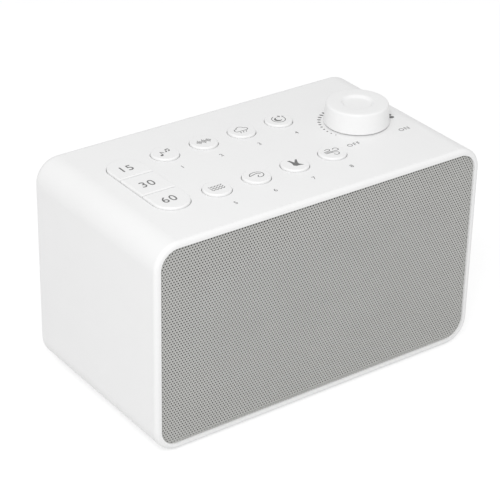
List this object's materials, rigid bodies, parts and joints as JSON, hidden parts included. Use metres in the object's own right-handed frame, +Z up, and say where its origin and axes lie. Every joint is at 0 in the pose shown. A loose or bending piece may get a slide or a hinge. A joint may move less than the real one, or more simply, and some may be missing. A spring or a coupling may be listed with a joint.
{
  "type": "white noise sound machine",
  "caption": "Box-shaped bedside sound machine with a perforated front grille, round sound buttons, timer buttons and a volume knob on top.",
  "frame": {"origin": "middle of the footprint, on the surface that the feet stand on", "axes": "+Z up, +X to the right seen from the front, -Y out of the front grille"},
  "size_m": [0.165, 0.093, 0.1067],
  "materials": {
    "casing_white": "fine satin moulded plastic",
    "button_white": "satin moulded plastic with grey printed signs",
    "knob_white": "satin moulded plastic",
    "grille_metal": "grey satin paint on perforated steel sheet",
    "black_cloth": "thin open-weave cloth",
    "screw_steel": "bright zinc",
    "foot_rubber": "soft grey rubber",
    "switch_black": "moulded black plastic",
    "plunger_black": "moulded black plastic",
    "board_green": "green solder mask on glass fibre",
    "shaft_metal": "turned and plated",
    "pot_metal": "pressed and plated",
    "foam_black": "closed-cell foam",
    "basket_steel": "black painted pressed steel",
    "surround_rubber": "smooth rubber",
    "cone_paper": "pressed paper pulp",
    "coil_copper": "enamelled copper wire",
    "spider_cloth": "resin-stiffened cloth",
    "plate_steel": "zinc-plated steel",
    "magnet_ferrite": "sintered ferrite",
    "terminal_fibre": "pressed fibre board",
    "chip_black": "moulded epoxy",
    "capacitor_sleeve": "dark shrink sleeve",
    "plug_white": "moulded nylon",
    "wire_grey": "soft insulation",
    "wire_red": "soft insulation"
  },
  "bodies": {
    "casing": {"main_housing": "casing_white", "rear_cover": "casing_white", "front_grille": "grille_metal", "grille_cloth": "black_cloth", "rear_cover_screws": "screw_steel", "keypad_screws": "screw_steel", "speaker_screws": "screw_steel", "main_board_screws": "screw_steel", "rubber_feet": "foot_rubber", "tact_switches": "switch_black", "keypad_board": "board_green", "main_board": "board_green", "volume_pot": "pot_metal", "volume_nut": "shaft_metal", "volume_washer": "shaft_metal", "speaker_gasket": "foam_black", "speaker_basket": "basket_steel", "speaker_surround": "surround_rubber", "speaker_spider": "spider_cloth", "speaker_top_plate": "plate_steel", "speaker_magnet": "magnet_ferrite", "speaker_yoke": "plate_steel", "speaker_terminal": "terminal_fibre", "power_inlet": "switch_black", "power_inlet_pin": "shaft_metal", "board_chips": "chip_black", "board_capacitors": "capacitor_sleeve", "board_connectors": "plug_white", "ribbon_cable": "wire_grey", "speaker_leads": "wire_red"},
    "knob": {"volume_knob": "knob_white", "volume_shaft": "shaft_metal"},
    "cone": {"speaker_cone": "cone_paper", "speaker_dust_cap": "cone_paper", "voice_coil": "coil_copper"},
    "sound_1": {"sound_button_1": "button_white", "sound_plunger_1": "plunger_black"},
    "sound_2": {"sound_button_2": "button_white", "sound_plunger_2": "plunger_black"},
    "sound_3": {"sound_button_3": "button_white", "sound_plunger_3": "plunger_black"},
    "sound_4": {"sound_button_4": "button_white", "sound_plunger_4": "plunger_black"},
    "sound_5": {"sound_button_5": "button_white", "sound_plunger_5": "plunger_black"},
    "sound_6": {"sound_button_6": "button_white", "sound_plunger_6": "plunger_black"},
    "sound_7": {"sound_button_7": "button_white", "sound_plunger_7": "plunger_black"},
    "sound_8": {"sound_button_8": "button_white", "sound_plunger_8": "plunger_black"},
    "timer_15": {"timer_button_15": "button_white", "timer_plunger_15": "plunger_black"},
    "timer_30": {"timer_button_30": "button_white", "timer_plunger_30": "plunger_black"},
    "timer_60": {"timer_button_60": "button_white", "timer_plunger_60": "plunger_black"}
  },
  "joints": [
    {"name": "volume_turn", "type": "hinge", "parent": "casing", "child": "knob", "pos_m": [0.0518, 0, 0.0974], "axis": [0, 0, -1], "range_deg": [0, 280]},
    {"name": "cone_move", "type": "slide", "parent": "casing", "child": "cone", "axis": [0, -1, 0], "range_m": [-0.0015, 0.0015], "stiffness_N_per_m": 1500, "deforming": ["speaker_surround", "speaker_spider"]},
    {"name": "sound_press_1", "type": "slide", "parent": "casing", "child": "sound_1", "axis": [0, 0, -1], "range_m": [0, 0.0005], "stiffness_N_per_m": 3000},
    {"name": "sound_press_2", "type": "slide", "parent": "casing", "child": "sound_2", "axis": [0, 0, -1], "range_m": [0, 0.0005], "stiffness_N_per_m": 3000},
    {"name": "sound_press_3", "type": "slide", "parent": "casing", "child": "sound_3", "axis": [0, 0, -1], "range_m": [0, 0.0005], "stiffness_N_per_m": 3000},
    {"name": "sound_press_4", "type": "slide", "parent": "casing", "child": "sound_4", "axis": [0, 0, -1], "range_m": [0, 0.0005], "stiffness_N_per_m": 3000},
    {"name": "sound_press_5", "type": "slide", "parent": "casing", "child": "sound_5", "axis": [0, 0, -1], "range_m": [0, 0.0005], "stiffness_N_per_m": 3000},
    {"name": "sound_press_6", "type": "slide", "parent": "casing", "child": "sound_6", "axis": [0, 0, -1], "range_m": [0, 0.0005], "stiffness_N_per_m": 3000},
    {"name": "sound_press_7", "type": "slide", "parent": "casing", "child": "sound_7", "axis": [0, 0, -1], "range_m": [0, 0.0005], "stiffness_N_per_m": 3000},
    {"name": "sound_press_8", "type": "slide", "parent": "casing", "child": "sound_8", "axis": [0, 0, -1], "range_m": [0, 0.0005], "stiffness_N_per_m": 3000},
    {"name": "timer_press_15", "type": "slide", "parent": "casing", "child": "timer_15", "axis": [0, 0, -1], "range_m": [0, 0.0005], "stiffness_N_per_m": 3000},
    {"name": "timer_press_30", "type": "slide", "parent": "casing", "child": "timer_30", "axis": [0, 0, -1], "range_m": [0, 0.0005], "stiffness_N_per_m": 3000},
    {"name": "timer_press_60", "type": "slide", "parent": "casing", "child": "timer_60", "axis": [0, 0, -1], "range_m": [0, 0.0005], "stiffness_N_per_m": 3000}
  ]
}
